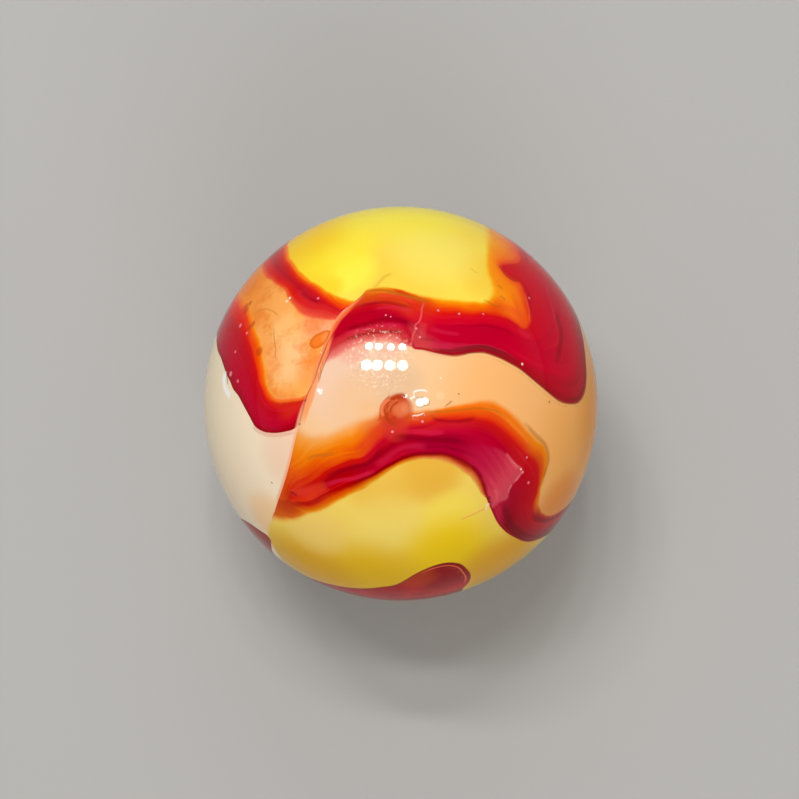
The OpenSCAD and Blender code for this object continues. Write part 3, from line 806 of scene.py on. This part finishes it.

# %% [markdown]
# ## Threads, veins and specks
# The lines stored on the mesh are laid over the colours: streaks first, then brown veins, dark threads and
# pale threads, then white chips and painted highlights round the dish. Then come the specks: pits and
# bubbles, most of them about a tenth of a millimetre wide, and a few painted highlights of the lamps.

# %% Lay the lines
fold = mark("fold")
coral_strip = step(fold, -0.1, 0.1) * step(fold, 1.6, 0.9) * patch((-19.5, 22.5), 4, 8)
peach_strip = step(fold, -0.1, 0.1) * step(fold, 2.2, 1.6) * patch((-24, 6.5), 9, 14)
salmon_strip = step(fold, -1.1, -0.4) * patch((-33, -15), 12, 20) * (1 - flap)
colour = blend(colour, "#FF6E40", coral_strip * 0.8)
colour = blend(colour, "#FF9454", peach_strip * 0.8)
colour = blend(colour, "#F8AC84", salmon_strip * 0.8)
LAYERS = [   # name, colour, strength
    ("rose_streaks", "#D82048", 0.7), ("dark_streaks", "#860018", 0.8), ("fire_streaks", "#EC4428", 0.8),
    ("orange_streaks", "#FC8024", 0.8), ("pink_streaks", "#F0686C", 0.6), ("dark_threads", "#80180C", 1.0),
    ("brown_veins", "#B86818", 0.8), ("light_threads", "#FC8C58", 1.0), ("curl_dark", "#B43A10", 1.0),
    ("curl_light", "#EC7C48", 1.0), ("white_chips", "#FFFAF4", 1.0)]
for name, paint, strength in LAYERS:
    line = step(abs(mark(name + "_across") + wobble * 0.8), 1.6, 0.3) * mark(name + "_strength")
    colour = blend(colour, paint, line * strength)
drop = mark("drop") + wobble * 0.5
colour = blend(colour, "#E06410", step(drop, -0.4, 0.1) * 0.9)
colour = blend(colour, "#F27C28", step(drop, 0.1, 0.9))
colour = blend(colour, "#F5904A", step(drop, 0.0, 0.6) * patch((-22, 18.5), 0.5, 2) * 0.8)

# %% Place the specks
def specks(colour, paint, strength, *drawn):
    """Round specks, each as (east, north, radius in degrees)."""
    there = None
    for speck_east, speck_north, size in drawn:
        one = patch((speck_east, speck_north), size * 0.5, size * 1.4)
        there = one if there is None else larger(there, one)
    return blend(colour, paint, there * strength)


colour = specks(colour, "#C03008", 0.6,
    (-60.3, 28.5, 1.2), (-59.2, 27.5, 1.2), (-58.5, 29.6, 0.8), (-52.9, 21.7, 0.9), (-51.5, 22.9, 0.9),
    (-45.1, 14.7, 1.2))
# Painted highlights: the lamps' glints on the dish's flat cut and on three small pits
colour = specks(colour, "#FFFAF0", 1.0,
    (5.2, 0.4, 1.1), (6.6, 0.8, 0.9), (-23.1, 3.7, 0.5), (-22.5, 3, 0.45), (-22.2, 3.7, 0.3))
# Cream pits, and painted glints at the bruise's tip and broken edge
colour = specks(colour, "#FCE0BC", 0.9,
    (-39.5, 29.8, 0.45), (-38.8, 30.8, 0.4), (11, 7, 0.3), (-66.5, -8.5, 0.5), (28.6, -29.1, 0.5),
    (28.4, -30.3, 0.35), (36.5, 11, 0.35), (-49, -22.5, 0.4), (-46.5, -10.5, 0.4), (37.6, -18.4, 0.3))
# A painted dull highlight of the lamps, beside the dish
colour = specks(colour, "#FCD098", 0.6, (10.8, 2.2, 1.1))
colour = specks(colour, "#F4909C", 0.8,
    (47, 31, 0.35), (18, 25.5, 0.3), (26, 25.5, 0.25), (-4.5, 25, 0.25), (-3, 24.5, 0.2), (11.5, 26.5, 0.3),
    (4.5, 21, 0.3), (5.5, 18.5, 0.3), (38.5, -19.3, 0.4), (-27.5, 30.5, 0.35), (-57.3, 8.4, 0.7),
    (42, -22.5, 0.4), (-58.6, 22.6, 0.6), (-53.2, 20.2, 0.4), (-53, 6.3, 0.4), (-56.9, 14.7, 0.4),
    (-2.3, -7.6, 0.35), (5.9, -4.8, 0.35), (39, -15, 0.3))
colour = specks(colour, "#6A1410", 0.55,
    (-29.1, -5.6, 0.35), (-27.2, 0.8, 0.3), (-42.5, -22.5, 0.3), (16, 2.7, 0.25), (46, 0.5, 0.35),
    (28.4, -27, 0.6), (29.4, -28.2, 0.3))
print("lines and specks laid")

# %% [markdown]
# ## Surface
# The glass is polished, with a low roughness and a faint grain. Above the middle, where the milky glass
# meets the soft end of the upper ribbon, fine pits frost it; their glints and shade are painted as light and
# dark grains. A bump tilts the light without moving the surface, for the grain, the sharp foot of the crease
# and a small flat cut in the dish, which the shears left and which mirrors a lamp.

# %% Frost, painted as glints and shade
painted_glint_zone = patch((-6.3, 12.4), 6, 11)
grains = noise(60, 2, 0.5)
# Light grains are painted glints of the pits, and dark grains their painted shade
colour = blend(colour, "#FFF0D8", step(grains, 0.54, 0.68) * painted_glint_zone * 0.5)
colour = blend(colour, "#C89878", step(grains, 0.44, 0.34) * painted_glint_zone * 0.2)
GRAIN_DEPTH, FOOT_DEPTH = 0.0012e-3, 0.012e-3   # of the grain, and of the sharp foot of the crease
rough = 0.025 + noise(30, 3) * 0.02
height = noise(14, 2) * GRAIN_DEPTH
height = height - step(abs(fold), 0.55, 0.0) * patch((-24, 8), 30, 45) * FOOT_DEPTH
print("frost laid")

# %% Flat cut in the dish
# The cut is a plane, tilted so that it mirrors one lamp to an eye held square to the best face.
mirror = BEST_FACE + direction(-6.3, 21.4)
hollow = larger(1 - (1 - towards(direction(*DISH))) / (1 - math.cos(math.radians(DISH_REACH))), 0.0)
dish_fill = hollow.maths("POWER", DISH_EDGE) * DISH_DEPTH
window = larger(patch((5.2, 0.4), 1.0, 1.6), patch((6.6, 0.7), 0.9, 1.4))
plane = (1 - towards(mirror / (mirror @ direction(5.7, 0.5)))) * ball_radius
height = height + window * (plane + dish_fill)
bumped = Wire.node("ShaderNodeBump", {}, {"Strength": 1.0, "Distance": 1.0, "Height": height})
print("flat cut made")

# %% Join the shader
# The index is set well below that of glass, so that the mirror image of the floor round the rim stays faint.
# A thin clear coat over the middle of the best face gives the lamps their sharp mirror images.
polished = patch((-6.3, 13.5), 10, 17) * 0.6
Wire.fill(Wire.tree.nodes["Principled BSDF"],
          {"IOR": 1.17, "Coat Roughness": 0.02, "Base Color": colour, "Roughness": rough, "Normal": bumped,
           "Coat Weight": polished})
print(f"glass: {len(glass.node_tree.nodes)} nodes")

# %% [markdown]
# ## The piece
# The ball stands for the CAD's ball, at the same size and in the same place, and rides on the same body.

# %% Put the ball on the frame
def put(name, data):
    """An object made from its data and linked to the scene."""
    thing = bpy.data.objects.new(name, data)
    bpy.context.scene.collection.objects.link(thing)
    return thing


marble = put("marble_ball", ball_mesh)
ball_mesh.materials.append(glass)
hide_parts("marble")
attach(marble, "root")
print("the ball rides on the frame")

# %% [markdown]
# ## Floor
# The marble lies on a plain pale floor. Light that bounces off the floor onto the ball sees a darker tone
# than the camera does, so that the ball's underside keeps its depth.

# %% Floor
def pale_to_sight(darker, paler):
    """The paler value for what is seen or mirrored, and the darker one for light that bounces."""
    rays = [Wire.node("ShaderNodeLightPath", out=kind)
            for kind in ("Is Camera Ray", "Is Glossy Ray", "Is Transmission Ray")]
    return blend(darker, paler, larger(larger(rays[0], rays[1]), rays[2]))


FLOOR_REACH = 1.0
floor_mesh = bpy.data.meshes.new("floor")
floor_mesh.from_pydata([(x * FLOOR_REACH, y * FLOOR_REACH, -ball_radius) for x, y in
                        ((-1, -1), (1, -1), (1, 1), (-1, 1))], [], [(0, 1, 2, 3)])
floor = put("floor", floor_mesh)
floor_paint = bpy.data.materials.new("pale_floor")
floor_paint.use_nodes = True
Wire.tree = floor_paint.node_tree
Wire.fill(Wire.tree.nodes["Principled BSDF"],
          {"Roughness": 0.9, "Specular IOR Level": 0.2, "Base Color": pale_to_sight("#949290", "#B2B0AD")})
floor_mesh.materials.append(floor_paint)
print("floor laid")

# %% [markdown]
# ## Light
# Eight small round lamps in two rows stand above and a little to the upper left. The glass mirrors them as
# eight bright dots, and they are the key light. Two large soft lamps fill in from below and above, kept out
# of the mirror. The studio is pale at the horizon and dark overhead, which keeps the reds deep.

# %% Lamps and studio
def lamp(name, place, distance, across, strength, mirrored=True):
    """A round lamp that faces the ball. strength is how bright it makes white paper at the ball."""
    light = bpy.data.lights.new(name, "AREA")
    light.shape = "DISK"
    light.size = across
    light.energy = strength * math.pi ** 2 * distance ** 2
    holder = put(name, light)
    holder.location = direction(*place) * distance
    holder.rotation_euler = Vector(direction(*place)).to_track_quat("Z", "Y").to_euler()
    holder.visible_glossy = mirrored


KEY_DISTANCE, FILL_DISTANCE, FILL_SIZE = 0.3, 0.6, 0.4
for row, (lamp_north, size) in enumerate([(32, 0.020), (21.4, 0.031)]):
    for column, lamp_east in enumerate((-20.2, -13.8, -6.3, 1.1)):
        lamp(f"key_{row}_{column}", (lamp_east, lamp_north), KEY_DISTANCE, size, 0.068)
lamp("fill_low", (10, -45), FILL_DISTANCE, FILL_SIZE, 0.24, mirrored=False)
lamp("fill_high", (5, 65), FILL_DISTANCE, FILL_SIZE, 0.1, mirrored=False)

studio = bpy.data.worlds.new("studio")
bpy.context.scene.world = studio
studio.use_nodes = True
Wire.tree = studio.node_tree
sky = Wire.node("ShaderNodeTexCoord", out="Generated")
height_of_sky = Wire.node("ShaderNodeSeparateXYZ", {}, {0: sky}, out="Z")
dome = blend("#CACAC9", "#282726", step(height_of_sky, 0.0, 0.36))
Wire.fill(Wire.tree.nodes["Background"], {"Color": pale_to_sight("#B1B1B1", dome)})
print("ten lamps and a studio")

# %% [markdown]
# ## Camera
# The camera looks down at the best face from 80 degrees above the horizon, through a long lens, as one looks
# through a magnifier held square to the ball. It aims a hair's breadth beside the ball's centre.

# %% Camera and view
LENS, FILM, DISTANCE = 130, 36, 0.1172
lens_data = bpy.data.cameras.new("camera")
lens_data.lens, lens_data.sensor_width = LENS, FILM
lens_data.clip_start, lens_data.clip_end = 0.005, 20
camera = put("camera", lens_data)
aim = Vector(-0.049e-3 * EAST + 0.163e-3 * NORTH)
camera.location = aim + Vector(BEST_FACE) * DISTANCE
camera.rotation_euler = Vector(BEST_FACE).to_track_quat("Z", "Y").to_euler()
bpy.context.scene.camera = camera
bpy.context.scene.view_settings.view_transform = "Standard"
print(f"camera {1000 * DISTANCE:.0f} mm from the ball")
